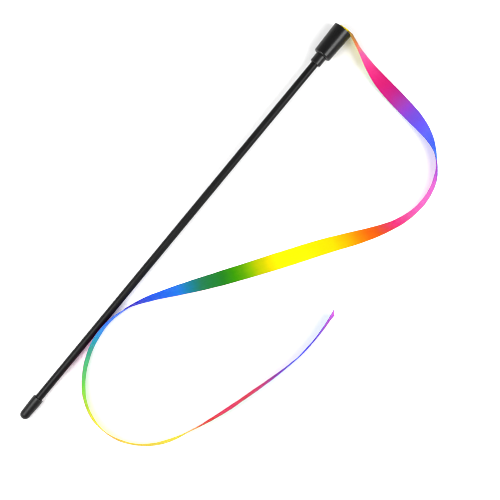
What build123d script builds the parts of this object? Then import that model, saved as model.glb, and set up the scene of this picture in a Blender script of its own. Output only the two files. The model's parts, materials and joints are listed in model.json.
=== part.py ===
from build123d import *
import math
import os

# Ribbon wand, lying on a flat surface.
# Row frame: +X along the wand towards its head, +Z up, the ribbon on the -Y side.
# The origin is the centre of the whole object's footprint, on the surface it lies on.
# Millimetres throughout.

# ---- driving dimensions --------------------------------------------------
wand_length = 323.0        # domed handle end to the head's open mouth, along the axis

rod_d = 5.0                # straight plastic stick
rod_start = 1.6            # lower end of the stick, against the cap's end wall
rod_end = 305.6            # upper end, just above the barrel's web

cap_length = 16.5          # push-on cap on the handle end
cap_mouth_d = 7.1
cap_dome_d = 6.4
cap_land = 3.4             # straight band at the cap's mouth

collar_start = 294.6       # collar fixed on the rod under the barrel
collar_end = 302.2
collar_d = 7.5

barrel_start = 301.2       # turning barrel
barrel_base_d = 11.9
barrel_mouth_d = 13.2
barrel_bore_d = 10.4
barrel_base_round = 1.2
recess_d = 8.8             # recess in the base that the collar enters
recess_depth = 1.2
web_thickness = 3.0
bearing_clearance = 0.05   # radial, barrel on rod
end_play = 0.2             # between washer and web, and between collar and web

washer_d = 8.4
washer_hole_d = 2.6
washer_t = 0.8

screw_head_d = 4.8
screw_head_h = 1.8
screw_core_d = 2.3
screw_length = 8.0

plug_start = 314.2
plug_end = 321.5
plug_d = 10.3
plug_relief_r = 4.25       # relief for the ribbon's rolled end
plug_relief_from = -55.0   # degrees from the top, towards -Y
plug_relief_to = 90.0

ribbon_w = 10.6
ribbon_t = 0.34

# ---- the wand's axis -----------------------------------------------------
# The wand rests on the rim of the barrel and on the rim of the handle cap,
# so its axis rises a little towards the head.
contact_head = wand_length - 0.4
contact_cap = cap_length - 0.3
tilt = math.atan2((barrel_mouth_d - cap_mouth_d) / 2, contact_head - contact_cap)
axis_z_cap = cap_mouth_d / 2 * math.cos(tilt)
to_row = Location((0, 0, axis_z_cap - contact_cap * math.sin(tilt)), (0, -math.degrees(tilt), 0))


def turned(points_and_arcs):
    """A body of revolution about X. Each entry is a point (x, r), or ("arc", (cx, cr), (x, r))
    for a quarter arc about (cx, cr) to the next point."""
    edges = []
    here = points_and_arcs[0]
    first = here
    for item in points_and_arcs[1:] + [first]:
        if item[0] == "arc":
            _, c, end = item
            ra = math.hypot(here[0] - c[0], here[1] - c[1])
            mx, my = (here[0] + end[0]) / 2 - c[0], (here[1] + end[1]) / 2 - c[1]
            ml = math.hypot(mx, my)
            edges.append(Edge.make_three_point_arc(
                Vector(here[0], here[1], 0),
                Vector(c[0] + mx / ml * ra, c[1] + my / ml * ra, 0),
                Vector(end[0], end[1], 0)))
            here = end
        else:
            if math.hypot(here[0] - item[0], here[1] - item[1]) > 1e-9:
                edges.append(Edge.make_line(Vector(here[0], here[1], 0), Vector(item[0], item[1], 0)))
            here = item
    face = Face(Wire(edges))
    return revolve(face, axis=Axis.X, revolution_arc=360)


rr = rod_d / 2

# ---- rod -----------------------------------------------------------------
pilot_r = screw_core_d / 2 + 0.02
pilot_bottom = rod_end - screw_length - 0.6
rod = turned([
    (rod_start, 0), (rod_start, rr - 0.3), (rod_start + 0.3, rr),
    (rod_end - 0.25, rr), (rod_end, rr - 0.25),
    (rod_end, pilot_r), (pilot_bottom, pilot_r), (pilot_bottom, 0),
])

# ---- handle cap ----------------------------------------------------------
dr = cap_dome_d / 2
mr = cap_mouth_d / 2
handle_cap = turned([
    (0, 0),
    ("arc", (dr, 0), (dr, dr)),
    (cap_length - cap_land, mr),
    (cap_length - 0.2, mr),
    ("arc", (cap_length - 0.2, mr - 0.2), (cap_length, mr - 0.2)),
    (cap_length, rr + 0.25), (cap_length - 0.35, rr),
    (rod_start, rr), (rod_start, 0),
])

# ---- collar --------------------------------------------------------------
cr = collar_d / 2
swivel_collar = turned([
    (collar_start, rr + 0.45), (collar_start, cr - 0.25), (collar_start + 0.25, cr),
    (collar_end - 0.3, cr), (collar_end, cr - 0.3),
    (collar_end, rr), (collar_start + 0.6, rr),
])

# ---- barrel --------------------------------------------------------------
br, fr, hr = barrel_base_d / 2, barrel_mouth_d / 2, barrel_bore_d / 2
rb = barrel_base_round
bearing_r = rr + bearing_clearance
web_low = barrel_start + recess_depth
web_high = web_low + web_thickness
swivel_barrel = turned([
    (barrel_start, recess_d / 2 + 0.15), (barrel_start, br - rb),
    ("arc", (barrel_start + rb, br - rb), (barrel_start + rb, br)),
    (wand_length - 0.4, fr),
    ("arc", (wand_length - 0.4, fr - 0.4), (wand_length, fr - 0.4)),
    (wand_length, hr + 0.25),
    ("arc", (wand_length - 0.25, hr + 0.25), (wand_length - 0.25, hr)),
    (web_high, hr), (web_high, bearing_r), (web_low, bearing_r),
    (web_low, recess_d / 2), (barrel_start + 0.15, recess_d / 2),
])

# ---- washer and screw that keep the barrel on the rod --------------------
washer_low = rod_end
washer_high = rod_end + washer_t
retaining_washer = turned([
    (washer_low, washer_hole_d / 2), (washer_low, washer_d / 2),
    (washer_high, washer_d / 2), (washer_high, washer_hole_d / 2),
])

hr_s = screw_head_d / 2
retaining_screw = turned([
    (rod_end - screw_length, 0), (rod_end - screw_length + 0.9, screw_core_d / 2),
    (washer_high, screw_core_d / 2), (washer_high, hr_s),
    (washer_high + screw_head_h - 0.7, hr_s),
    ("arc", (washer_high + screw_head_h - 0.7, hr_s - 0.7), (washer_high + screw_head_h, hr_s - 0.7)),
    (washer_high + screw_head_h, 0),
])
drive_x = washer_high + screw_head_h
for size_y, size_z in ((2.6, 0.6), (0.6, 2.6)):
    retaining_screw -= Pos(drive_x, 0, 0) * Box(1.8, size_y, size_z)

# ---- plug that pinches the ribbon in the barrel's mouth ------------------
pr = plug_d / 2
ribbon_plug = turned([
    (plug_start, 0), (plug_start, pr - 0.5), (plug_start + 0.9, pr),
    (plug_end - 0.3, pr), (plug_end, pr - 0.3),
    (plug_end, 1.6), (plug_end - 0.5, 1.3), (plug_end - 0.5, 0),
])


def at_angle(x, r, degrees):
    """A point at radius r, turned from the top (+Z) towards -Y."""
    a = math.radians(degrees)
    return Vector(x, -r * math.sin(a), r * math.cos(a))


def ring_sector(x0, x1, r0, r1, a0, a1):
    """A solid sector of a ring about X."""
    am = (a0 + a1) / 2
    p = [at_angle(x0, r0, a0), at_angle(x0, r0, a1), at_angle(x0, r1, a1), at_angle(x0, r1, a0)]
    face = Face(Wire([
        Edge.make_three_point_arc(p[0], at_angle(x0, r0, am), p[1]),
        Edge.make_line(p[1], p[2]),
        Edge.make_three_point_arc(p[2], at_angle(x0, r1, am), p[3]),
        Edge.make_line(p[3], p[0]),
    ]))
    return Solid.extrude(face, Vector(x1 - x0, 0, 0))


ribbon_plug -= ring_sector(plug_start - 1, plug_end + 1, plug_relief_r, pr + 1,
                           plug_relief_from, plug_relief_to)

# ---- ribbon --------------------------------------------------------------
# One straight-cut strip. Each row is one station along it, from the end held in
# the barrel to the free end: a point on its lower edge, on its middle line and on
# its upper edge (x, y, z). x is from the wand's handle end, y from the wand's
# axis, z from the surface that the wand lies on. It is rolled to the bore inside
# the barrel, folds round the rim, and lies on its lower edge, turning over twice.
ribbon_stations = [
    (313.67, -4.83, 7.47, 313.64, -1.47, 11.21, 313.65, 3.42, 10.05),
    (316.77, -4.83, 7.50, 316.74, -1.47, 11.24, 316.75, 3.42, 10.08),
    (319.87, -4.83, 7.53, 319.84, -1.47, 11.27, 319.85, 3.42, 10.11),
    (322.97, -4.83, 7.56, 322.94, -1.47, 11.30, 322.95, 3.42, 10.14),
    (323.31, -4.85, 7.53, 323.29, -1.50, 11.32, 323.30, 3.37, 10.16),
    (323.50, -4.90, 7.40, 323.50, -1.60, 11.30, 323.45, 3.15, 10.20),
    (323.71, -4.99, 7.15, 323.71, -1.80, 11.17, 323.58, 2.67, 10.27),
    (323.95, -5.10, 6.70, 323.90, -2.10, 10.90, 323.68, 1.90, 10.35),
    (324.22, -5.24, 6.01, 324.05, -2.51, 10.46, 323.71, 0.86, 10.43),
    (324.50, -5.40, 5.20, 324.15, -3.00, 9.90, 323.70, -0.30, 10.50),
    (324.76, -5.57, 4.40, 324.22, -3.55, 9.26, 323.67, -1.42, 10.56),
    (325.00, -5.75, 3.60, 324.25, -4.10, 8.60, 323.62, -2.50, 10.60),
    (325.20, -5.93, 2.78, 324.25, -4.61, 7.95, 323.54, -3.53, 10.62),
    (325.35, -6.15, 2.00, 324.20, -5.10, 7.30, 323.36, -4.45, 10.62),
    (325.42, -6.48, 1.31, 324.06, -5.64, 6.64, 323.05, -5.19, 10.62),
    (325.35, -6.90, 0.80, 323.85, -6.30, 6.10, 322.65, -5.85, 10.60),
    (325.11, -7.45, 0.51, 323.57, -7.17, 5.78, 322.21, -6.57, 10.56),
    (324.75, -8.30, 0.35, 323.20, -8.20, 5.60, 321.75, -7.50, 10.50),
    (324.32, -9.60, 0.24, 322.74, -9.38, 5.46, 321.25, -8.73, 10.41),
    (323.75, -11.20, 0.15, 322.25, -10.80, 5.35, 320.65, -10.20, 10.30),
    (323.04, -12.84, 0.08, 321.82, -12.44, 5.28, 319.95, -11.75, 10.19),
    (322.54, -14.01, 0.05, 321.49, -13.65, 5.26, 319.45, -12.94, 10.13),
    (320.64, -21.77, 0.08, 318.73, -21.14, 5.01, 315.95, -20.21, 9.45),
    (319.31, -29.58, 0.11, 316.20, -28.71, 4.34, 312.42, -27.65, 7.94),
    (318.37, -37.29, 0.14, 314.22, -36.44, 3.36, 309.64, -35.50, 5.88),
    (317.58, -45.03, 0.16, 312.82, -44.31, 2.40, 307.81, -43.56, 3.99),
    (316.79, -52.84, 0.16, 311.80, -52.24, 1.88, 306.64, -51.62, 2.99),
    (315.91, -60.79, 0.16, 310.88, -60.19, 1.73, 305.70, -59.57, 2.75),
    (314.31, -70.91, 0.16, 309.52, -70.10, 2.29, 304.57, -69.25, 4.00),
    (311.42, -81.01, 0.13, 307.46, -79.88, 3.47, 303.37, -78.71, 6.64),
    (306.35, -90.44, 0.09, 303.83, -89.17, 4.57, 301.58, -88.03, 9.24),
    (299.31, -98.31, 0.04, 298.16, -97.28, 5.13, 297.66, -96.84, 10.40),
    (290.89, -104.06, 0.00, 290.70, -103.77, 5.30, 290.93, -104.13, 10.60),
    (281.61, -107.60, 0.02, 281.76, -108.10, 5.30, 282.01, -108.92, 10.53),
    (271.87, -108.70, 0.04, 271.92, -109.74, 5.23, 271.97, -110.95, 10.40),
    (262.20, -107.62, 0.05, 261.96, -109.02, 5.16, 261.69, -110.62, 10.20),
    (253.00, -104.54, 0.07, 252.35, -106.32, 5.02, 251.61, -108.37, 9.85),
    (244.51, -99.79, 0.09, 243.28, -102.15, 4.68, 241.93, -104.75, 9.10),
    (236.47, -94.20, 0.11, 234.65, -97.12, 4.15, 232.71, -100.25, 7.96),
    (228.62, -88.27, 0.13, 226.32, -91.61, 3.55, 223.90, -95.13, 6.70),
    (217.50, -79.80, 0.15, 214.88, -83.54, 2.84, 212.15, -87.42, 5.21),
    (205.96, -71.61, 0.16, 203.28, -75.70, 2.19, 200.52, -79.91, 3.86),
    (194.22, -63.87, 0.16, 191.49, -68.15, 1.71, 188.71, -72.51, 2.88),
    (182.51, -56.30, 0.16, 179.74, -60.54, 1.74, 176.92, -64.86, 2.97),
    (174.06, -50.95, 0.16, 171.36, -55.08, 2.10, 168.61, -59.31, 3.72),
    (163.98, -44.53, 0.15, 161.36, -48.46, 2.57, 158.66, -52.49, 4.71),
    (152.26, -36.95, 0.15, 149.75, -40.63, 3.02, 147.16, -44.43, 5.66),
    (140.50, -29.45, 0.13, 138.24, -32.66, 3.70, 135.91, -35.99, 7.10),
    (130.31, -23.09, 0.11, 128.46, -25.70, 4.33, 126.53, -28.45, 8.43),
    (121.68, -17.89, 0.08, 120.26, -19.99, 4.74, 118.79, -22.15, 9.35),
    (112.83, -12.97, 0.06, 111.87, -14.54, 5.03, 111.01, -15.95, 10.06),
    (103.64, -8.67, 0.03, 103.06, -9.84, 5.18, 102.88, -10.22, 10.49),
    (94.01, -5.58, 0.00, 93.78, -6.34, 5.30, 93.99, -5.64, 10.60),
    (84.11, -4.26, 0.02, 84.11, -4.25, 5.35, 84.25, -3.03, 10.55),
    (74.25, -4.46, 0.03, 74.20, -3.86, 5.31, 74.09, -2.52, 10.45),
    (64.59, -6.23, 0.03, 64.40, -5.55, 5.30, 64.05, -4.27, 10.44),
    (55.27, -9.48, 0.03, 55.05, -9.00, 5.31, 54.56, -7.93, 10.49),
    (46.48, -14.04, 0.02, 46.34, -13.84, 5.32, 45.83, -13.09, 10.56),
    (38.61, -20.12, 0.01, 38.64, -20.15, 5.32, 38.20, -19.72, 10.59),
    (32.30, -27.85, 0.00, 32.46, -27.94, 5.30, 32.27, -27.83, 10.60),
    (28.09, -37.01, 0.01, 28.35, -37.07, 5.31, 28.86, -37.19, 10.58),
    (26.45, -47.10, 0.03, 27.05, -47.08, 5.31, 28.32, -47.05, 10.46),
    (27.86, -57.33, 0.04, 28.87, -57.02, 5.24, 30.27, -56.60, 10.34),
    (32.05, -66.78, 0.04, 33.12, -66.14, 5.19, 34.29, -65.45, 10.32),
    (38.30, -75.00, 0.04, 39.26, -74.08, 5.18, 40.33, -73.07, 10.27),
    (46.22, -81.57, 0.05, 47.01, -80.43, 5.16, 47.87, -79.17, 10.24),
    (55.28, -86.22, 0.03, 55.88, -85.03, 5.17, 56.22, -84.35, 10.42),
    (64.75, -89.67, 0.01, 65.05, -88.96, 5.27, 65.02, -89.02, 10.59),
    (74.26, -92.83, 0.00, 74.25, -92.86, 5.30, 74.17, -93.08, 10.60),
    (83.80, -95.82, 0.01, 83.65, -96.26, 5.29, 83.52, -96.68, 10.58),
    (93.36, -98.71, 0.02, 93.21, -99.23, 5.29, 93.04, -99.79, 10.56),
    (102.95, -101.52, 0.02, 102.83, -101.94, 5.30, 102.69, -102.46, 10.57),
    (112.57, -104.27, 0.01, 112.47, -104.62, 5.30, 112.36, -105.03, 10.58),
    (122.20, -106.92, 0.01, 122.09, -107.35, 5.29, 122.06, -107.46, 10.59),
    (131.86, -109.49, 0.00, 131.80, -109.82, 5.30, 131.87, -109.45, 10.60),
    (141.64, -111.70, 0.01, 141.65, -111.69, 5.33, 141.77, -110.81, 10.58),
    (151.62, -113.03, 0.02, 151.64, -112.65, 5.32, 151.70, -111.57, 10.52),
    (161.68, -113.30, 0.03, 161.67, -112.65, 5.29, 161.65, -111.64, 10.50),
    (171.53, -112.89, 0.03, 171.44, -111.87, 5.23, 171.34, -110.80, 10.42),
    (176.46, -112.46, 0.04, 176.32, -111.27, 5.20, 176.18, -110.14, 10.38),
    (177.46, -112.34, 0.04, 177.96, -111.07, 5.20, 179.01, -109.81, 10.38),
    (178.45, -112.22, 0.04, 179.59, -110.87, 5.20, 181.84, -109.47, 10.38),
]
across = (-1.0, -0.5, 0.0, 0.5, 1.0)


def middle_surface(row):
    lo, mid, up = Vector(*row[0:3]), Vector(*row[3:6]), Vector(*row[6:9])
    return [lo * (v * (v - 1) / 2) + mid * (1 - v * v) + up * (v * (v + 1) / 2) for v in across]


grid = [middle_surface(row) for row in ribbon_stations]
last = len(grid) - 1
sections = []
for i, row in enumerate(grid):
    side_a, side_b = [], []
    for j, p in enumerate(row):
        along = grid[min(i + 1, last)][j] - grid[max(i - 1, 0)][j]
        over = row[min(j + 1, 4)] - row[max(j - 1, 0)]
        n = over.cross(along).normalized()
        side_a.append(p + n * (ribbon_t / 2))
        side_b.append(p - n * (ribbon_t / 2))
    ring = side_a + side_b[::-1]
    lowest = min(p.Z for p in ring)
    if lowest < 0:
        ring = [p + Vector(0, 0, -lowest) for p in ring]
    sections.append(ring)


def quad_faces(a, b, c, d):
    """The two triangles of one skew four-sided patch."""
    out = []
    for tri in ((a, b, c), (a, c, d)):
        out.append(Face(Wire.make_polygon(list(tri), close=True)))
    return out


faces = []
for low, high in zip(sections[:-1], sections[1:]):
    for k in range(10):
        m = (k + 1) % 10
        faces += quad_faces(low[k], low[m], high[m], high[k])
for ring in (sections[0], sections[-1]):
    for k in range(4):
        faces += quad_faces(ring[k], ring[k + 1], ring[8 - k], ring[9 - k])
ribbon = Solid(Shell(faces))

# ---- place everything in the row frame and write it ----------------------
on_axis = {
    "rod": rod,
    "handle_cap": handle_cap,
    "swivel_collar": swivel_collar,
    "swivel_barrel": swivel_barrel,
    "retaining_washer": retaining_washer,
    "retaining_screw": retaining_screw,
    "ribbon_plug": ribbon_plug,
}
parts = {name: to_row * shape for name, shape in on_axis.items()}
parts["ribbon"] = ribbon

boxes = [shape.bounding_box() for shape in parts.values()]
x_mid = (min(b.min.X for b in boxes) + max(b.max.X for b in boxes)) / 2
y_mid = (min(b.min.Y for b in boxes) + max(b.max.Y for b in boxes)) / 2
z_low = min(b.min.Z for b in boxes)
os.makedirs("parts", exist_ok=True)
for name, shape in parts.items():
    placed = Pos(-x_mid, -y_mid, -z_low) * shape
    placed.label = name
    export_step(placed, f"parts/{name}.step")
    print(name, "volume", round(placed.volume, 2), "valid", placed.is_valid)

print("shift", round(x_mid, 4), round(y_mid, 4), round(z_low, 4), "tilt", round(math.degrees(tilt), 4))
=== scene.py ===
import json
import math

import bpy
import numpy as np
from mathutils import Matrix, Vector


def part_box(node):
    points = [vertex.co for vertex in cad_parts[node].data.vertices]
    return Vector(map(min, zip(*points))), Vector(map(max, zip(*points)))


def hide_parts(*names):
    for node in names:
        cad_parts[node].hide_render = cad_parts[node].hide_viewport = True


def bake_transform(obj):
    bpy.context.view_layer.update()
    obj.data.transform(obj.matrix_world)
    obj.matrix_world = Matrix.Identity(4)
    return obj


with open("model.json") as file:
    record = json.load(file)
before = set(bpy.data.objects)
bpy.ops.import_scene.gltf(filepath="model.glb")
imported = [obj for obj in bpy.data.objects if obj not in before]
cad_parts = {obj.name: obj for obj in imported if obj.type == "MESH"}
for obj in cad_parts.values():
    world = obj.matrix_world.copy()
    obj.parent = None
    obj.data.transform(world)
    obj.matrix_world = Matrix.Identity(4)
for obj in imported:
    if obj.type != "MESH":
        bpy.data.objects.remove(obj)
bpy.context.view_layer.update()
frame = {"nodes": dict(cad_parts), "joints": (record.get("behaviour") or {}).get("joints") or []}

# A ribbon wand that lies on a pale floor. Metres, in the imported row's frame:
# +X along the wand towards its head, +Z up, the ribbon on the -Y side.

nodes = frame["nodes"]
joint = frame["joints"][0]
HUB = Vector(joint["pos_m"])
AXIS = Vector(joint["axis"]).normalized()
if AXIS.x < 0:
    AXIS = -AXIS
TILT = math.atan2(AXIS.z, AXIS.x)
barrel_low, barrel_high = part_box("swivel_barrel")
MOUTH_X = barrel_high.x


# ---------------------------------------------------------------- small helpers
def srgb(r, g, b):
    """8-bit display colour to scene-linear."""
    def one(v):
        v /= 255.0
        return v / 12.92 if v <= 0.04045 else ((v + 0.055) / 1.055) ** 2.4
    return (one(r), one(g), one(b), 1.0)


class Tree:
    """Shorthand for building a node material."""

    def __init__(self, name):
        self.mat = bpy.data.materials.new(name)
        self.mat.use_nodes = True
        self.nt = self.mat.node_tree
        self.nt.nodes.clear()
        self.out = self.nt.nodes.new("ShaderNodeOutputMaterial")
        self.bsdf = self.nt.nodes.new("ShaderNodeBsdfPrincipled")
        self.link(self.bsdf.outputs[0], self.out.inputs[0])

    def node(self, kind, **props):
        n = self.nt.nodes.new("ShaderNode" + kind)
        for k, v in props.items():
            setattr(n, k, v)
        return n

    def link(self, a, b):
        self.nt.links.new(a, b)

    def put(self, value, socket):
        if isinstance(value, bpy.types.NodeSocket):
            self.link(value, socket)
        else:
            socket.default_value = value

    def math(self, op, a, b=None, c=None, clamp=False):
        n = self.node("Math", operation=op, use_clamp=clamp)
        for v, s in zip((a, b, c), n.inputs):
            if v is not None:
                self.put(v, s)
        return n.outputs[0]

    def ramp(self, fac, stops, mode="LINEAR"):
        n = self.node("ValToRGB")
        r = n.color_ramp
        r.interpolation = mode
        while len(r.elements) < len(stops):
            r.elements.new(1.0)
        for e, (p, c) in zip(r.elements, stops):
            e.position = p
            e.color = c if hasattr(c, "__len__") else (c, c, c, 1.0)
        self.put(fac, n.inputs[0])
        return n.outputs[0]

    def mix(self, fac, a, b, blend="MIX"):
        n = self.node("Mix", data_type="RGBA", blend_type=blend, clamp_result=False)
        self.put(fac, n.inputs[0])
        self.put(a, n.inputs[6])
        self.put(b, n.inputs[7])
        return n.outputs[2]

    def noise(self, vector, scale, detail=2.0, rough=0.5):
        n = self.node("TexNoise")
        self.put(vector, n.inputs["Vector"])
        n.inputs["Scale"].default_value = scale
        n.inputs["Detail"].default_value = detail
        n.inputs["Roughness"].default_value = rough
        return n.outputs["Fac"]

    def bump(self, height, strength, distance, normal=None):
        n = self.node("Bump")
        n.inputs["Strength"].default_value = strength
        n.inputs["Distance"].default_value = distance
        self.put(height, n.inputs["Height"])
        if normal is not None:
            self.link(normal, n.inputs["Normal"])
        return n.outputs[0]

    def along_wand(self, scale):
        """The piece's own coordinates, turned so that X runs along the wand's axis from its hub, and scaled."""
        tc = self.node("TexCoord")
        m = self.node("Mapping", vector_type="TEXTURE")
        m.inputs["Location"].default_value = HUB
        m.inputs["Rotation"].default_value = (0.0, -TILT, 0.0)
        self.link(tc.outputs["Object"], m.inputs["Vector"])
        m2 = self.node("Mapping")
        m2.inputs["Scale"].default_value = scale
        self.link(m.outputs[0], m2.inputs["Vector"])
        return m2.outputs[0]


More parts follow.
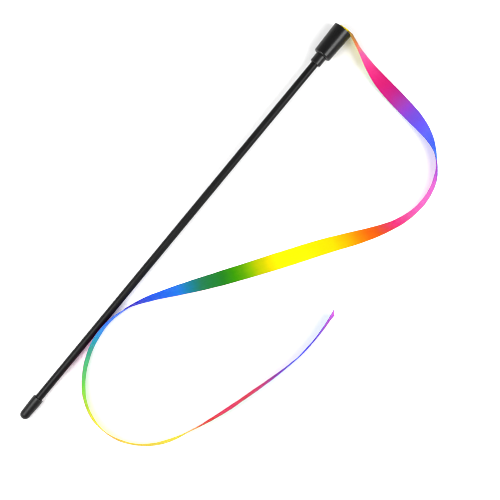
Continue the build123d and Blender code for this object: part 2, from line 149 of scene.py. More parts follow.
# ---------------------------------------------------------------- the ribbon
# One printed satin ribbon, 10.6 mm wide. Each row is a station along it: its lower edge, its middle
# line and its upper edge, as x, y, z in millimetres. The first four stations are rolled inside the
# barrel's mouth, the next twelve fold over its rim, and the rest lie on the floor, mostly on edge.
RIBBON = [
    (150.894, 48.608, 7.498, 150.857, 51.963, 11.237, 150.868, 56.852, 10.081),
    (153.994, 48.608, 7.528, 153.957, 51.963, 11.267, 153.968, 56.852, 10.112),
    (157.094, 48.608, 7.559, 157.056, 51.963, 11.298, 157.068, 56.852, 10.143),
    (160.193, 48.608, 7.590, 160.156, 51.963, 11.329, 160.168, 56.852, 10.174),
    (160.530, 48.589, 7.557, 160.507, 51.936, 11.347, 160.522, 56.803, 10.190),
    (160.719, 48.535, 7.431, 160.719, 51.834, 11.331, 160.669, 56.584, 10.231),
    (160.924, 48.449, 7.180, 160.925, 51.637, 11.205, 160.797, 56.105, 10.299),
    (161.169, 48.334, 6.731, 161.119, 51.334, 10.931, 160.899, 55.334, 10.381),
    (161.441, 48.195, 6.041, 161.267, 50.928, 10.494, 160.932, 54.293, 10.460),
    (161.719, 48.035, 5.231, 161.369, 50.434, 9.931, 160.919, 53.135, 10.531),
    (161.982, 47.860, 4.429, 161.434, 49.885, 9.293, 160.888, 52.011, 10.590),
    (162.219, 47.684, 3.631, 161.469, 49.334, 8.631, 160.839, 50.934, 10.631),
    (162.421, 47.509, 2.815, 161.473, 48.828, 7.983, 160.754, 49.900, 10.648),
    (162.569, 47.285, 2.031, 161.419, 48.334, 7.331, 160.579, 48.984, 10.651),
    (162.636, 46.959, 1.344, 161.282, 47.799, 6.673, 160.269, 48.246, 10.647),
    (162.569, 46.535, 0.831, 161.069, 47.135, 6.131, 159.869, 47.584, 10.631),
    (162.329, 45.985, 0.536, 160.787, 46.269, 5.810, 159.432, 46.860, 10.594),
    (161.969, 45.135, 0.381, 160.419, 45.234, 5.631, 158.969, 45.934, 10.531),
    (161.537, 43.839, 0.270, 159.957, 44.055, 5.490, 158.468, 44.708, 10.441),
    (160.969, 42.234, 0.181, 159.469, 42.635, 5.381, 157.869, 43.234, 10.331),
    (160.263, 40.590, 0.112, 159.034, 40.999, 5.315, 157.172, 41.680, 10.218),
    (159.762, 39.423, 0.083, 158.709, 39.787, 5.294, 156.667, 40.492, 10.165),
    (158.734, 35.565, 0.094, 157.339, 36.042, 5.213, 155.008, 36.839, 9.935),
    (157.862, 31.661, 0.110, 155.949, 32.297, 5.039, 153.168, 33.223, 9.485),
    (157.129, 27.751, 0.128, 154.615, 28.534, 4.755, 151.320, 29.562, 8.808),
    (156.530, 23.859, 0.146, 153.419, 24.727, 4.374, 149.640, 25.781, 7.968),
    (156.022, 19.993, 0.161, 152.353, 20.880, 3.908, 148.134, 21.900, 6.981),
    (155.586, 16.142, 0.174, 151.438, 16.992, 3.388, 146.855, 17.932, 5.912),
    (155.190, 12.284, 0.183, 150.675, 13.070, 2.872, 145.828, 13.914, 4.879),
    (154.802, 8.408, 0.189, 150.041, 9.123, 2.434, 145.030, 9.876, 4.026),
    (154.408, 4.513, 0.193, 149.503, 5.161, 2.123, 144.398, 5.836, 3.419),
    (154.008, 0.592, 0.195, 149.019, 1.192, 1.911, 143.864, 1.811, 3.019),
    (153.591, -3.365, 0.196, 148.558, -2.781, 1.781, 143.381, -2.181, 2.789),
    (153.130, -7.360, 0.196, 148.095, -6.754, 1.760, 142.924, -6.132, 2.781),
    (152.437, -12.401, 0.194, 147.472, -11.715, 1.935, 142.363, -11.010, 3.184),
    (151.533, -17.480, 0.189, 146.744, -16.662, 2.319, 141.794, -15.817, 4.029),
    (150.311, -22.558, 0.180, 145.843, -21.581, 2.864, 141.207, -20.567, 5.232),
    (148.639, -27.576, 0.165, 144.676, -26.443, 3.500, 140.592, -25.276, 6.671),
    (146.398, -32.438, 0.143, 143.116, -31.191, 4.113, 139.858, -29.953, 8.106),
    (143.571, -37.008, 0.117, 141.050, -35.732, 4.604, 138.800, -34.593, 9.269),
    (140.246, -41.174, 0.090, 138.455, -39.973, 4.943, 137.190, -39.125, 10.031),
    (136.524, -44.872, 0.066, 135.374, -43.849, 5.158, 134.877, -43.407, 10.435),
    (132.439, -48.011, 0.045, 131.849, -47.315, 5.287, 131.854, -47.321, 10.607),
    (128.105, -50.629, 0.032, 127.917, -50.333, 5.335, 128.146, -50.693, 10.632),
    (123.554, -52.694, 0.044, 123.611, -52.819, 5.349, 123.895, -53.439, 10.612),
    (118.830, -54.168, 0.053, 118.979, -54.663, 5.330, 119.224, -55.481, 10.564),
    (113.987, -55.017, 0.060, 114.117, -55.814, 5.299, 114.280, -56.820, 10.502),
    (109.094, -55.269, 0.067, 109.139, -56.308, 5.265, 109.192, -57.514, 10.426),
    (104.218, -54.985, 0.073, 104.138, -56.216, 5.228, 104.046, -57.621, 10.339),
    (99.418, -54.189, 0.080, 99.179, -55.585, 5.188, 98.905, -57.184, 10.235),
    (94.735, -52.886, 0.087, 94.311, -54.455, 5.133, 93.824, -56.262, 10.094),
    (90.214, -51.102, 0.096, 89.569, -52.886, 5.047, 88.829, -54.932, 9.883),
    (85.888, -48.890, 0.108, 84.967, -50.949, 4.906, 83.934, -53.259, 9.566),
    (81.728, -46.355, 0.120, 80.502, -48.715, 4.708, 79.153, -51.313, 9.129),
    (77.675, -43.620, 0.133, 76.145, -46.276, 4.460, 74.485, -49.155, 8.592),
    (73.690, -40.765, 0.145, 71.872, -43.688, 4.179, 69.925, -46.817, 7.991),
    (69.751, -37.830, 0.156, 67.673, -40.980, 3.881, 65.469, -44.322, 7.359),
    (65.836, -34.838, 0.164, 63.536, -38.178, 3.581, 61.114, -41.693, 6.728),
    (60.333, -30.601, 0.174, 57.811, -34.153, 3.197, 55.177, -37.861, 5.923),
    (54.723, -26.370, 0.180, 52.097, -30.109, 2.873, 49.372, -33.990, 5.246),
    (48.992, -22.211, 0.186, 46.331, -26.138, 2.557, 43.584, -30.194, 4.588),
    (43.180, -18.171, 0.190, 40.497, -22.269, 2.222, 37.740, -26.480, 3.894),
    (37.318, -14.252, 0.194, 34.614, -18.475, 1.921, 31.848, -22.794, 3.271),
    (31.438, -10.440, 0.195, 28.709, -14.716, 1.741, 25.925, -19.078, 2.908),
    (25.590, -6.664, 0.196, 22.820, -10.933, 1.688, 19.999, -15.280, 2.817),
    (19.726, -2.868, 0.195, 16.957, -7.109, 1.769, 14.137, -11.428, 2.997),
    (15.501, -0.174, 0.193, 12.770, -4.376, 1.924, 9.983, -8.665, 3.326),
    (11.275, 2.488, 0.191, 8.580, -1.647, 2.130, 5.825, -5.876, 3.755),
    (7.070, 5.142, 0.188, 4.402, 1.097, 2.341, 1.666, -3.048, 4.198),
    (1.203, 8.900, 0.184, -1.424, 4.977, 2.597, -4.124, 0.946, 4.736),
    (-4.650, 12.696, 0.181, -7.234, 8.881, 2.804, -9.893, 4.955, 5.176),
    (-10.517, 16.485, 0.176, -13.031, 12.804, 3.047, -15.623, 9.008, 5.689),
    (-16.398, 20.237, 0.169, -18.804, 16.762, 3.368, -21.293, 13.166, 6.365),
    (-22.285, 23.985, 0.159, -24.537, 20.778, 3.730, -26.876, 17.447, 7.126),
    (-28.204, 27.709, 0.146, -30.242, 24.833, 4.106, -32.372, 21.828, 7.919),
    (-32.471, 30.348, 0.136, -34.317, 27.731, 4.360, -36.253, 24.984, 8.460),
    (-36.768, 32.961, 0.125, -38.410, 30.603, 4.579, -40.126, 28.138, 8.947),
    (-41.099, 35.540, 0.113, -42.524, 33.445, 4.768, -43.995, 31.283, 9.379),
    (-45.485, 38.055, 0.101, -46.679, 36.229, 4.931, -47.867, 34.410, 9.765),
    (-49.946, 40.464, 0.087, -50.907, 38.897, 5.059, -51.772, 37.486, 10.095),
    (-54.497, 42.720, 0.073, -55.250, 41.369, 5.148, -55.767, 40.442, 10.347),
    (-59.140, 44.767, 0.059, -59.720, 43.592, 5.214, -59.906, 43.214, 10.516),
    (-63.897, 46.522, 0.045, -64.309, 45.513, 5.273, -64.226, 45.716, 10.609),
    (-68.768, 47.856, 0.032, -68.999, 47.099, 5.327, -68.787, 47.793, 10.632),
    (-73.711, 48.715, 0.041, -73.790, 48.331, 5.376, -73.578, 49.358, 10.621),
    (-78.669, 49.179, 0.051, -78.668, 49.189, 5.386, -78.531, 50.402, 10.579),
    (-83.613, 49.268, 0.058, -83.608, 49.639, 5.365, -83.588, 50.932, 10.526),
    (-88.528, 48.971, 0.062, -88.578, 49.576, 5.340, -88.688, 50.912, 10.482),
    (-93.396, 48.285, 0.064, -93.521, 48.980, 5.327, -93.760, 50.318, 10.461),
    (-98.194, 47.207, 0.063, -98.380, 47.880, 5.327, -98.734, 49.165, 10.467),
    (-102.902, 45.744, 0.061, -103.121, 46.338, 5.333, -103.560, 47.533, 10.489),
    (-107.509, 43.950, 0.058, -107.730, 44.434, 5.342, -108.221, 45.509, 10.519),
    (-111.990, 41.847, 0.054, -112.184, 42.194, 5.350, -112.700, 43.117, 10.554),
    (-116.303, 39.398, 0.049, -116.438, 39.595, 5.355, -116.951, 40.348, 10.587),
    (-120.390, 36.563, 0.044, -120.442, 36.626, 5.355, -120.926, 37.212, 10.611),
    (-124.172, 33.318, 0.040, -124.138, 33.284, 5.350, -124.579, 33.719, 10.625),
    (-127.559, 29.652, 0.036, -127.458, 29.574, 5.343, -127.817, 29.851, 10.631),
    (-130.485, 25.589, 0.031, -130.324, 25.496, 5.332, -130.511, 25.604, 10.631),
    (-132.890, 21.167, 0.036, -132.676, 21.080, 5.332, -132.567, 21.036, 10.631),
    (-134.689, 16.429, 0.044, -134.431, 16.365, 5.338, -133.925, 16.241, 10.614),
    (-135.847, 11.455, 0.052, -135.482, 11.417, 5.347, -134.552, 11.319, 10.572),
    (-136.327, 6.333, 0.061, -135.732, 6.351, 5.339, -134.458, 6.389, 10.495),
    (-136.019, 1.170, 0.068, -135.180, 1.309, 5.309, -133.741, 1.547, 10.414),
    (-134.919, -3.894, 0.071, -133.911, -3.590, 5.270, -132.512, -3.167, 10.369),
    (-133.124, -8.758, 0.072, -132.045, -8.277, 5.240, -130.775, -7.711, 10.355),
    (-130.730, -13.350, 0.073, -129.657, -12.708, 5.223, -128.495, -12.012, 10.348),
    (-127.828, -17.627, 0.074, -126.805, -16.847, 5.215, -125.703, -16.006, 10.331),
    (-124.478, -21.561, 0.076, -123.521, -20.648, 5.209, -122.455, -19.631, 10.300),
    (-120.707, -25.091, 0.078, -119.827, -24.047, 5.200, -118.824, -22.856, 10.267),
    (-116.557, -28.136, 0.078, -115.775, -26.999, 5.195, -114.909, -25.740, 10.271),
    (-112.119, -30.675, 0.073, -111.421, -29.471, 5.188, -110.800, -28.399, 10.342),
    (-107.499, -32.787, 0.064, -106.900, -31.598, 5.203, -106.556, -30.918, 10.456),
    (-102.780, -34.595, 0.053, -102.317, -33.563, 5.250, -102.208, -33.322, 10.561),
    (-98.027, -36.240, 0.042, -97.734, -35.525, 5.303, -97.761, -35.590, 10.619),
    (-93.277, -37.839, 0.034, -93.151, -37.510, 5.329, -93.219, -37.687, 10.632),
    (-88.523, -39.400, 0.035, -88.533, -39.429, 5.336, -88.610, -39.643, 10.632),
    (-83.755, -40.909, 0.041, -83.855, -41.197, 5.332, -83.958, -41.497, 10.623),
    (-78.982, -42.388, 0.045, -79.127, -42.829, 5.325, -79.264, -43.244, 10.607),
    (-74.205, -43.847, 0.048, -74.364, -44.354, 5.321, -74.524, -44.864, 10.594),
    (-69.420, -45.276, 0.049, -69.573, -45.791, 5.322, -69.742, -46.357, 10.589),
    (-64.627, -46.684, 0.048, -64.764, -47.162, 5.325, -64.927, -47.731, 10.592),
    (-59.830, -48.088, 0.047, -59.947, -48.502, 5.329, -60.094, -49.026, 10.602),
    (-55.028, -49.479, 0.045, -55.130, -49.845, 5.331, -55.260, -50.307, 10.610),
    (-50.216, -50.831, 0.044, -50.314, -51.190, 5.331, -50.425, -51.593, 10.614),
    (-45.397, -52.156, 0.042, -45.504, -52.557, 5.326, -45.581, -52.845, 10.618),
    (-40.580, -53.487, 0.040, -40.689, -53.912, 5.324, -40.717, -54.023, 10.625),
    (-35.762, -54.808, 0.036, -35.855, -55.212, 5.326, -35.827, -55.093, 10.632),
    (-30.919, -56.059, 0.032, -30.984, -56.389, 5.333, -30.910, -56.013, 10.632),
    (-26.044, -57.219, 0.038, -26.077, -57.409, 5.352, -25.966, -56.767, 10.628),
    (-21.136, -58.269, 0.045, -21.135, -58.257, 5.364, -21.007, -57.372, 10.607),
    (-16.175, -59.092, 0.051, -16.153, -58.875, 5.363, -16.044, -57.831, 10.575),
    (-11.165, -59.594, 0.054, -11.143, -59.219, 5.353, -11.080, -58.136, 10.553),
    (-6.136, -59.823, 0.056, -6.127, -59.318, 5.339, -6.107, -58.274, 10.542),
    (-1.102, -59.861, 0.057, -1.115, -59.211, 5.321, -1.135, -58.204, 10.527),
    (3.918, -59.728, 0.061, 3.869, -58.901, 5.296, 3.808, -57.884, 10.498),
    (8.750, -59.452, 0.064, 8.657, -58.438, 5.266, 8.560, -57.368, 10.456),
    (13.698, -59.164, 0.068, 13.537, -57.831, 5.230, 13.389, -56.611, 10.409),
    (14.703, -59.149, 0.068, 15.394, -57.609, 5.230, 16.210, -56.197, 10.409),
    (15.709, -59.134, 0.068, 17.260, -57.385, 5.230, 19.031, -55.783, 10.409),
]
CLOTH = 0.00017          # the satin's thickness
SELVAGE = 0.00027        # its woven edges
PERIOD = 0.2462          # length of one print repeat


def spline(x, y, xq):
    """Natural cubic spline through the columns of y."""
    n = len(x)
    h = np.diff(x)
    a = np.zeros((n, n))
    b = np.zeros((n, y.shape[1]))
    a[0, 0] = a[-1, -1] = 1.0
    for i in range(1, n - 1):
        a[i, i - 1], a[i, i], a[i, i + 1] = h[i - 1], 2 * (h[i - 1] + h[i]), h[i]
        b[i] = 6 * ((y[i + 1] - y[i]) / h[i] - (y[i] - y[i - 1]) / h[i - 1])
    m = np.linalg.solve(a, b)
    k = np.clip(np.searchsorted(x, xq) - 1, 0, n - 2)
    d0, d1, hk = (xq - x[k])[:, None], (x[k + 1] - xq)[:, None], h[k][:, None]
    return (
        (m[k] * d1 ** 3 + m[k + 1] * d0 ** 3) / (6 * hk)
        + (y[k] / hk - m[k] * hk / 6) * d1
        + (y[k + 1] / hk - m[k + 1] * hk / 6) * d0
    )


def smooth(a, b, x):
    t = np.clip((x - a) / (b - a), 0, 1)
    return t * t * (3 - 2 * t)


def make_ribbon():
    table = np.array(RIBBON).reshape(-1, 9) / 1000
    mid = table[:, 3:6]
    s = np.r_[0, np.cumsum(np.linalg.norm(np.diff(mid, axis=0), axis=1))]
    s_mouth = s[3]
    sq = np.r_[np.arange(0, 0.030, 0.0004), np.arange(0.030, s[-1] - 0.0003, 0.0008), s[-1]]
    fine = spline(s, table, sq).reshape(-1, 3, 3)
    half_v = [0.0, 0.15, 0.3, 0.45, 0.6, 0.74, 0.85, 0.915, 0.945, 0.975, 1.0]
    v = np.array([-x for x in half_v[:0:-1]] + half_v)
    low, midp, up = fine[:, 0], fine[:, 1], fine[:, 2]
    grid = (
        midp[:, None]
        + (up - low)[:, None] / 2 * v[None, :, None]
        + ((up + low) / 2 - midp)[:, None] * (v ** 2)[None, :, None]
    )
    # the cut end is a little concave
    t_end = grid[-1] - grid[-3]
    t_end /= np.linalg.norm(t_end, axis=1)[:, None]
    back = 0.0003 * (1 - v ** 2) + 0.00004 * np.sin(v * 23.0)
    for k in range(1, 9):
        share = 1 - (k - 1) / 8
        grid[-k] -= t_end * (back * share)[:, None]
    ds = np.gradient(grid, axis=0)
    dv = np.gradient(grid, axis=1)
    normal = np.cross(ds, dv)
    normal /= np.linalg.norm(normal, axis=2)[:, :, None]
    # slight unevenness of limp cloth, from just past the fold on
    lie = smooth(s_mouth + 0.016, s_mouth + 0.045, sq)[:, None]
    S, V = sq[:, None], v[None, :]
    wave = (
        0.000050 * np.sin(S * 2 * math.pi / 0.0171 + 1.3 * V + 0.4)
        + 0.000045 * np.sin(S * 2 * math.pi / 0.0287 - 1.9 * V + 2.1)
        + 0.000030 * np.sin(S * 2 * math.pi / 0.0093 + 2.6 * V + 4.0) * V
    )
    grid = grid + normal * (wave * lie)[:, :, None]
    half = CLOTH / 2 + (SELVAGE - CLOTH) / 2 * smooth(0.90, 0.95, np.abs(v)) * (1 - 0.55 * smooth(0.975, 1.0, np.abs(v)))
    front = grid + normal * half[None, :, None]
    rear = grid - normal * half[None, :, None]
    ns, nv = len(sq), len(v)
    side = dv / np.linalg.norm(dv, axis=2)[:, :, None]
    rim_low = grid[:, 0] - side[:, 0] * 0.00006
    rim_up = grid[:, -1] + side[:, -1] * 0.00006
    verts = np.concatenate([front.reshape(-1, 3), rear.reshape(-1, 3), rim_low, rim_up])
    F = lambda i, j: i * nv + j
    R = lambda i, j: ns * nv + i * nv + j
    L = lambda i: 2 * ns * nv + i
    U = lambda i: 2 * ns * nv + ns + i
    faces, mats, uvs = [], [], []
    u = (sq - s_mouth) / PERIOD
    # the print starts a little late at the head
    u = u - 0.026 * (1 - smooth(0.02, 0.13, sq - s_mouth))
    w = (v + 1) / 2

    def add(ids, uv, m):
        faces.append(ids)
        uvs.extend(uv)
        mats.append(m)

    for i in range(ns - 1):
        a, b = u[i], u[i + 1]
        for j in range(nv - 1):
            c, d = w[j], w[j + 1]
            add((F(i, j), F(i + 1, j), F(i + 1, j + 1), F(i, j + 1)), [(a, c), (b, c), (b, d), (a, d)], 0)
            add((R(i, j), R(i, j + 1), R(i + 1, j + 1), R(i + 1, j)), [(a, c), (a, d), (b, d), (b, c)], 1)
        add((L(i), L(i + 1), F(i + 1, 0), F(i, 0)), [(a, 0), (b, 0), (b, 0), (a, 0)], 0)
        add((R(i, 0), R(i + 1, 0), L(i + 1), L(i)), [(a, 0), (b, 0), (b, 0), (a, 0)], 1)
        add((F(i, nv - 1), F(i + 1, nv - 1), U(i + 1), U(i)), [(a, 1), (b, 1), (b, 1), (a, 1)], 0)
        add((U(i), U(i + 1), R(i + 1, nv - 1), R(i, nv - 1)), [(a, 1), (b, 1), (b, 1), (a, 1)], 1)
    for i, flip in ((0, False), (ns - 1, True)):
        a = u[i]
        for j in range(nv - 1):
            ids = (F(i, j), F(i, j + 1), R(i, j + 1), R(i, j))
            uv = [(a, w[j]), (a, w[j + 1]), (a, w[j + 1]), (a, w[j])]
            if flip:
                ids, uv = ids[::-1], uv[::-1]
            add(ids, uv, 1)
        for ids, c in (((F(i, 0), R(i, 0), L(i)), 0.0), ((R(i, nv - 1), F(i, nv - 1), U(i)), 1.0)):
            uv = [(a, c)] * 3
            if flip:
                ids = ids[::-1]
            add(ids, uv, 1)
    mesh = bpy.data.meshes.new("satin_ribbon")
    mesh.from_pydata([tuple(p) for p in verts], [], faces)
    mesh.validate()
    layer = mesh.uv_layers.new(name="UVMap")
    layer.data.foreach_set("uv", np.array(uvs, np.float32).ravel())
    mesh.polygons.foreach_set("material_index", np.array(mats, np.int32))
    mesh.polygons.foreach_set("use_smooth", np.ones(len(faces), bool))
    mesh.update()
    obj = bpy.data.objects.new("satin_ribbon", mesh)
    bpy.context.scene.collection.objects.link(obj)
    return obj, float(s[-1])


# Dye colours, scene-linear: position in the print's repeat, then red, green, blue.
# The outer face shows a first stretch at the head that is a little pinker than its repeat: on top of the print, its
# darker gold start is painted shade and its lighter, pinker magenta is a painted satin sheen.
FACE_A_HEAD_PRINT_SHADE_SHEEN = [
    (0.000, 0.3760, 0.1745, 0.0000), (0.010, 0.3952, 0.1745, 0.0000), (0.020, 0.4890, 0.1626, 0.0005),
    (0.030, 0.6988, 0.1685, 0.0218), (0.040, 0.8129, 0.1807, 0.0927), (0.050, 0.8430, 0.1626, 0.1869),
    (0.060, 0.7079, 0.0946, 0.3558), (0.070, 0.8350, 0.0832, 0.3257), (0.080, 0.8354, 0.0602, 0.2987),
    (0.092, 0.8475, 0.0446, 0.2650), (0.105, 0.7841, 0.0322, 0.2125), (0.120, 0.7218, 0.0242, 0.1951),
    (0.140, 0.6381, 0.0148, 0.1610), (0.160, 0.5637, 0.0107, 0.1408), (0.180, 0.5086, 0.0111, 0.1631),
    (0.200, 0.4215, 0.0153, 0.1939), (0.220, 0.3393, 0.0242, 0.2674), (0.240, 0.2892, 0.0395, 0.3528),
    (0.260, 0.2344, 0.0416, 0.4887), (0.280, 0.1544, 0.0603, 0.5434), (0.300, 0.1308, 0.0683, 0.6085),
    (0.320, 0.1171, 0.0810, 0.7611), (0.345, 0.0967, 0.1097, 0.7894), (0.370, 0.0461, 0.0869, 0.7193),
    (0.395, 0.0129, 0.0876, 0.6868), (0.425, 0.0282, 0.2145, 0.7961), (0.460, 0.0265, 0.3065, 0.7041),
]
FACE_A = [
    (0.000, 0.8413, 0.2684, 0.0706), (0.020, 0.6134, 0.0000, 0.0000), (0.045, 0.6609, 0.0000, 0.0000),
    (0.070, 0.6414, 0.0000, 0.0454), (0.095, 0.6475, 0.0000, 0.0722), (0.120, 0.6462, 0.0000, 0.0765),
    (0.150, 0.5957, 0.0000, 0.0390), (0.180, 0.5724, 0.0000, 0.0719), (0.200, 0.5201, 0.0000, 0.1251),
    (0.220, 0.4167, 0.0000, 0.1610), (0.245, 0.2748, 0.0000, 0.2542), (0.270, 0.1559, 0.0000, 0.4274),
    (0.295, 0.1371, 0.0671, 0.5802), (0.320, 0.1165, 0.0814, 0.7574), (0.350, 0.0878, 0.1046, 0.7698),
    (0.385, 0.0398, 0.1372, 0.7961), (0.410, 0.0318, 0.1759, 0.7961), (0.435, 0.0000, 0.1377, 0.7479),
    (0.455, 0.0000, 0.2037, 0.6855), (0.475, 0.0000, 0.2415, 0.6104), (0.495, 0.0000, 0.2984, 0.4273),
    (0.520, 0.0195, 0.3062, 0.2170), (0.550, 0.0433, 0.4110, 0.1563), (0.580, 0.0650, 0.4553, 0.0977),
    (0.610, 0.1221, 0.5787, 0.0440), (0.640, 0.2243, 0.6240, 0.0198), (0.670, 0.3730, 0.5898, 0.0000),
    (0.700, 0.6804, 0.6542, 0.0000), (0.740, 0.7943, 0.8485, 0.0000), (0.950, 0.8644, 0.7381, 0.0053),
    (0.975, 0.8566, 0.5083, 0.0281), (1.000, 0.8413, 0.2684, 0.0706),
]
FACE_B = [
    (0.000, 0.4841, 0.4823, 0.0000), (0.018, 0.3790, 0.4412, 0.0000), (0.035, 0.1914, 0.3936, 0.0000),
    (0.055, 0.0902, 0.3055, 0.0011), (0.080, 0.0314, 0.2468, 0.0003), (0.110, 0.0142, 0.1765, 0.0113),
    (0.145, 0.0139, 0.1694, 0.0387), (0.170, 0.0153, 0.1661, 0.0745), (0.190, 0.0092, 0.1752, 0.2028),
    (0.210, 0.0078, 0.1854, 0.3722), (0.235, 0.0136, 0.1682, 0.7088), (0.270, 0.0060, 0.1242, 0.8007),
    (0.305, 0.0000, 0.0877, 0.8128), (0.345, 0.0000, 0.0000, 0.7019), (0.385, 0.0390, 0.0000, 0.5187),
    (0.415, 0.1554, 0.0194, 0.4995), (0.440, 0.3083, 0.0113, 0.4545), (0.465, 0.4081, 0.0432, 0.5614),
    (0.490, 0.7204, 0.1038, 0.5913), (0.540, 0.8426, 0.1336, 0.5474), (0.580, 0.8756, 0.0906, 0.4499),
    (0.610, 0.8442, 0.0627, 0.3110), (0.640, 0.8329, 0.0170, 0.1852), (0.662, 0.7525, 0.0376, 0.0719),
    (0.690, 0.7157, 0.0885, 0.0000), (0.715, 0.8524, 0.1258, 0.0000), (0.740, 0.8812, 0.2114, 0.0000),
    (0.770, 0.8742, 0.3687, 0.0000), (0.810, 0.8768, 0.5781, 0.0000), (0.950, 0.8414, 0.7161, 0.0000),
    (0.985, 0.6536, 0.5393, 0.0000), (1.000, 0.4841, 0.4823, 0.0000),
]


def satin(name, stops, first=None, late=0.0):
    t = Tree(name)
    uv = t.node("UVMap", uv_map="UVMap")
    sep = t.node("SeparateXYZ")
    t.link(uv.outputs[0], sep.inputs[0])
    along, across = sep.outputs[0], sep.outputs[1]
    # metres along and across
    am = t.math("MULTIPLY", along, PERIOD)
    cm = t.math("MULTIPLY", across, 0.0106)
    # the print's edge wanders a little from thread to thread
    comb = t.node("CombineXYZ")
    t.link(t.math("MULTIPLY", am, 90.0), comb.inputs[0])
    t.link(t.math("MULTIPLY", cm, 5200.0), comb.inputs[1])
    threads = t.noise(comb.outputs[0], 1.0, 2.0, 0.6)
    wander = t.math("MULTIPLY", t.math("SUBTRACT", threads, 0.5), 0.012)
    # a wash across the width, as the dye soaked in unevenly
    comb2 = t.node("CombineXYZ")
    t.link(t.math("MULTIPLY", am, 55.0), comb2.inputs[0])
    t.link(t.math("MULTIPLY", cm, 160.0), comb2.inputs[1])
    wash = t.noise(comb2.outputs[0], 1.0, 3.0, 0.55)
    drift = t.math("MULTIPLY", t.math("SUBTRACT", wash, 0.5), 0.022)
    place = t.math("ADD", t.math("ADD", along, wander), drift)
    if late:
        lag = t.math("DIVIDE", t.math("SUBTRACT", 0.32, along), 0.24, clamp=True)
        place = t.math("SUBTRACT", place, t.math("MULTIPLY", lag, late))
    phase = t.math("FRACT", t.math("ADD", place, 1.0))
    def dye(rows, fac):
        return t.ramp(fac, [(p, (r, g, b, 1.0)) for p, r, g, b in rows])

    colour = dye(stops, phase)
    # the outer face's head stretch: print colours with painted shade and a painted satin sheen mixed in
    if first:
        lead = t.math("ADD", t.math("ADD", along, wander), drift)
        past = t.math("DIVIDE", t.math("SUBTRACT", along, 0.40), 0.04, clamp=True)
        colour = t.mix(past, dye(first, lead), colour)
    # tone: darker valleys between threads, denser selvages, a touch of mottle
    edge = t.math("ABSOLUTE", t.math("SUBTRACT", t.math("MULTIPLY", across, 2.0), 1.0))
    selvage = t.ramp(edge, [(0.0, 1.0), (0.90, 1.0), (0.93, 0.90), (0.965, 0.97), (1.0, 0.86)])
    mottle = t.ramp(threads, [(0.25, 0.93), (0.6, 1.0)])
    colour = t.mix(1.0, colour, selvage, "MULTIPLY")
    colour = t.mix(1.0, colour, mottle, "MULTIPLY")
    t.link(colour, t.bsdf.inputs["Base Color"])
    # satin weave: long warp floats side by side, each caught under a weft every few threads
    warp = t.math("SINE", t.math("MULTIPLY", cm, 2 * math.pi / 0.00021))
    row = t.math("FLOOR", t.math("DIVIDE", cm, 0.00021))
    shift = t.math("MULTIPLY", t.math("MODULO", t.math("MULTIPLY", row, 2.0), 5.0), 0.00026)
    weft = t.math("SINE", t.math("MULTIPLY", t.math("ADD", am, shift), 2 * math.pi / 0.0013))
    caught = t.math("POWER", t.math("MULTIPLY", t.math("ADD", weft, 1.0), 0.5), 6.0)
    height = t.math("SUBTRACT", t.math("MULTIPLY", warp, 0.5), t.math("MULTIPLY", caught, 0.9))
    b1 = t.bump(height, 0.35, 0.00002)
    b2 = t.bump(wash, 0.25, 0.0004, b1)
    t.link(b2, t.bsdf.inputs["Normal"])
    rough = t.math("ADD", t.math("MULTIPLY", threads, 0.16), 0.40)
    t.link(rough, t.bsdf.inputs["Roughness"])
    t.bsdf.inputs["Specular IOR Level"].default_value = 0.05
    return t.mat


ribbon, ribbon_length = make_ribbon()
ribbon.data.materials.append(satin("printed_satin_inner", FACE_B, late=0.10))
ribbon.data.materials.append(satin("printed_satin_outer", FACE_A, FACE_A_HEAD_PRINT_SHADE_SHEEN))


# ---------------------------------------------------------------- the plastics and the metal
def black_plastic(name, base, rough, grain, grain_depth, streak=0.0, wear=(), shine=0.5):
    """Moulded or drawn black plastic: fine spark texture, uneven gloss, faint scuffs and rubbed edges.
    wear: (x along the wand from the hub, half width) of edges that are rubbed brighter, in metres."""
    t = Tree(name)
    fine = t.noise(t.along_wand((1.0, 1.0, 1.0)), grain, 2.0, 0.6)
    cloud = t.noise(t.along_wand((60.0, 220.0, 220.0)), 1.0, 3.0, 0.55)
    scuff = t.noise(t.along_wand((520.0, 5200.0, 5200.0)), 1.0, 3.0, 0.65)
    lines = t.noise(t.along_wand((26.0, 4300.0, 4300.0)), 1.0, 2.0, 0.5)
    marks = t.ramp(scuff, [(0.0, 0.0), (0.66, 0.0), (0.74, 1.0)])
    tone = t.ramp(cloud, [(0.3, (base[0] * 0.8, base[1] * 0.8, base[2] * 0.8, 1)), (0.7, (base[0] * 1.25, base[1] * 1.25, base[2] * 1.25, 1))])
    scuffed = t.mix(t.math("MULTIPLY", marks, 0.16), tone, (0.10, 0.10, 0.10, 1.0))
    colour = scuffed
    rubbed = None
    if wear:
        tc = t.node("SeparateXYZ")
        t.link(t.along_wand((1.0, 1.0, 1.0)), tc.inputs[0])
        for x, half in wear:
            near = t.math("SUBTRACT", 1.0, t.math("DIVIDE", t.math("ABSOLUTE", t.math("SUBTRACT", tc.outputs[0], x)), half), clamp=True)
            rubbed = near if rubbed is None else t.math("MAXIMUM", rubbed, near)
        patch = t.ramp(cloud, [(0.35, 0.15), (0.62, 1.0)])
        rubbed = t.math("MULTIPLY", rubbed, patch)
        colour = t.mix(t.math("MULTIPLY", rubbed, 0.45), scuffed, (0.055, 0.055, 0.056, 1.0))
    t.link(colour, t.bsdf.inputs["Base Color"])
    r = t.math("ADD", t.math("MULTIPLY", t.math("SUBTRACT", cloud, 0.5), 0.22), rough)
    r = t.math("ADD", r, t.math("MULTIPLY", marks, 0.10))
    if rubbed is not None:
        r = t.math("SUBTRACT", r, t.math("MULTIPLY", rubbed, 0.10))
    t.link(r, t.bsdf.inputs["Roughness"])
    normal = t.bump(fine, 0.5, grain_depth)
    if streak:
        normal = t.bump(lines, 0.6, streak, normal)
    t.link(normal, t.bsdf.inputs["Normal"])
    t.bsdf.inputs["Specular IOR Level"].default_value = shine
    return t.mat


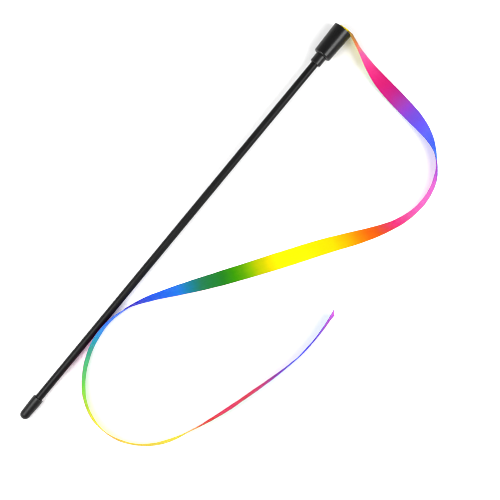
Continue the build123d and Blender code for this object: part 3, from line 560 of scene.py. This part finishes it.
def zinc(name):
    t = Tree(name)
    turned = t.noise(t.along_wand((9000.0, 700.0, 700.0)), 1.0, 3.0, 0.6)
    spots = t.noise(t.along_wand((900.0, 900.0, 900.0)), 1.0, 4.0, 0.6)
    t.link(t.ramp(spots, [(0.3, (0.50, 0.50, 0.49, 1)), (0.7, (0.70, 0.70, 0.68, 1))]), t.bsdf.inputs["Base Color"])
    t.bsdf.inputs["Metallic"].default_value = 1.0
    t.link(t.math("ADD", t.math("MULTIPLY", turned, 0.25), 0.26), t.bsdf.inputs["Roughness"])
    t.link(t.bump(turned, 0.3, 0.00002), t.bsdf.inputs["Normal"])
    return t.mat


mouth_u = MOUTH_X - HUB.x
base_u = barrel_low.x - HUB.x
cap_low, cap_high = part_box("handle_cap")
col_low, col_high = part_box("swivel_collar")

looks = {
    "rod": black_plastic("rod_plastic", (0.0048, 0.0048, 0.0050), 0.40, 5200.0, 0.000010, streak=0.000014, shine=0.16),
    "handle_cap": black_plastic("cap_vinyl", (0.0040, 0.0040, 0.0041), 0.42, 3000.0, 0.000030,
                                wear=((cap_high.x - HUB.x, 0.0009), (cap_low.x - HUB.x, 0.0028)), shine=0.30),
    "swivel_collar": black_plastic("collar_plastic", (0.0050, 0.0050, 0.0052), 0.34, 3800.0, 0.000014,
                                   wear=((col_low.x - HUB.x, 0.0006),), shine=0.32),
    "swivel_barrel": black_plastic("barrel_plastic", (0.0050, 0.0050, 0.0052), 0.30, 3600.0, 0.000014,
                                   wear=((mouth_u, 0.0011), (base_u + 0.0004, 0.0012)), shine=0.27),
    "retaining_washer": zinc("washer_zinc"),
    "retaining_screw": zinc("screw_zinc"),
    "ribbon_plug": black_plastic("plug_plastic", (0.016, 0.016, 0.017), 0.55, 3200.0, 0.000020, shine=0.3),
}
for name, mat in looks.items():
    node = nodes[name]
    node.data.materials.clear()
    node.data.materials.append(mat)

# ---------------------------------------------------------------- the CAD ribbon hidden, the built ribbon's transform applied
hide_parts("ribbon")
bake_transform(ribbon)

# ---------------------------------------------------------------- floor, light, camera
bpy.ops.mesh.primitive_grid_add(x_subdivisions=8, y_subdivisions=8, size=30.0, location=(0, 0, 0))
floor = bpy.context.object
floor.name = "floor"
t = Tree("floor_paper")
t.bsdf.inputs["Base Color"].default_value = (0.85, 0.85, 0.85, 1.0)
t.bsdf.inputs["Emission Color"].default_value = (1.0, 1.0, 1.0, 1.0)
# the floor glows, a painted light that pales the shadows on it; the glow strengthens away from the wand, so that it
# meets the backdrop without a band
tex = t.node("TexCoord")
far = t.node("VectorMath", operation="LENGTH")
t.link(tex.outputs["Object"], far.inputs[0])
sweep = t.ramp(t.math("MULTIPLY", far.outputs["Value"], 0.5), [(0.0, 0.17), (0.12, 0.17), (0.30, 0.50), (1.0, 0.56)])
# and the glow is taken away in the corner between the head and the ribbon, which is a painted shadow there
head = t.node("VectorMath", operation="DISTANCE")
t.link(tex.outputs["Object"], head.inputs[0])
head.inputs[1].default_value = (MOUTH_X - 0.0100, HUB.y - 0.0140, 0.0)
near = t.ramp(t.math("MULTIPLY", head.outputs["Value"], 10.0), [(0.0, 0.0), (0.065, 0.0), (0.125, 1.0)])
t.link(t.math("MULTIPLY", sweep, near), t.bsdf.inputs["Emission Strength"])
t.bsdf.inputs["Roughness"].default_value = 0.9
t.bsdf.inputs["Specular IOR Level"].default_value = 0.1
floor.data.materials.append(t.mat)

scene = bpy.context.scene
scene.view_settings.view_transform = "Standard"
scene.view_settings.look = "None"
scene.cycles.filter_width = 0.9
world = bpy.data.worlds.new("studio")
scene.world = world
world.use_nodes = True
wn = world.node_tree
wn.nodes.clear()
wo = wn.nodes.new("ShaderNodeOutputWorld")
bg = wn.nodes.new("ShaderNodeBackground")
tc = wn.nodes.new("ShaderNodeTexCoord")
sp = wn.nodes.new("ShaderNodeSeparateXYZ")
rp = wn.nodes.new("ShaderNodeValToRGB")
rp.color_ramp.elements[0].position = 0.0
rp.color_ramp.elements[0].color = (0.80, 0.80, 0.80, 1)
rp.color_ramp.elements[1].position = 0.92
rp.color_ramp.elements[1].color = (0.22, 0.22, 0.22, 1)
wn.links.new(tc.outputs["Generated"], sp.inputs[0])
wn.links.new(sp.outputs[2], rp.inputs[0])
wn.links.new(rp.outputs[0], bg.inputs[0])
bg.inputs[1].default_value = 1.0
wn.links.new(bg.outputs[0], wo.inputs[0])


def softbox(name, place, size, power):
    """A square lamp that points at the middle of the wand."""
    data = bpy.data.lights.new(name, "AREA")
    data.shape = "SQUARE"
    data.size = size
    data.energy = power
    obj = bpy.data.objects.new(name, data)
    obj.location = place
    obj.rotation_euler = Vector(place).to_track_quat("Z", "Y").to_euler()
    scene.collection.objects.link(obj)


softbox("right_box", (0.215, -0.29, 0.44), 0.30, 2.75)
softbox("left_box", (-0.22, 0.22, 0.44), 0.30, 2.5)

cam_data = bpy.data.cameras.new("camera")
cam = bpy.data.objects.new("camera", cam_data)
scene.collection.objects.link(cam)
scene.camera = cam
HEIGHT = 0.850
cam_data.sensor_width = 36.0
cam_data.lens = 36.0 * HEIGHT / 0.3222
cam_data.clip_start, cam_data.clip_end = 0.01, 100.0
up = Vector((0.77059, 0.63734, 0.0)).normalized()
right = Vector((0.63734, -0.77059, 0.0)).normalized()
back = right.cross(up)
from mathutils import Matrix
cam.matrix_world = Matrix((
    (right.x, up.x, back.x, 0.013558),
    (right.y, up.y, back.y, 0.0094805),
    (right.z, up.z, back.z, HEIGHT),
    (0, 0, 0, 1),
))
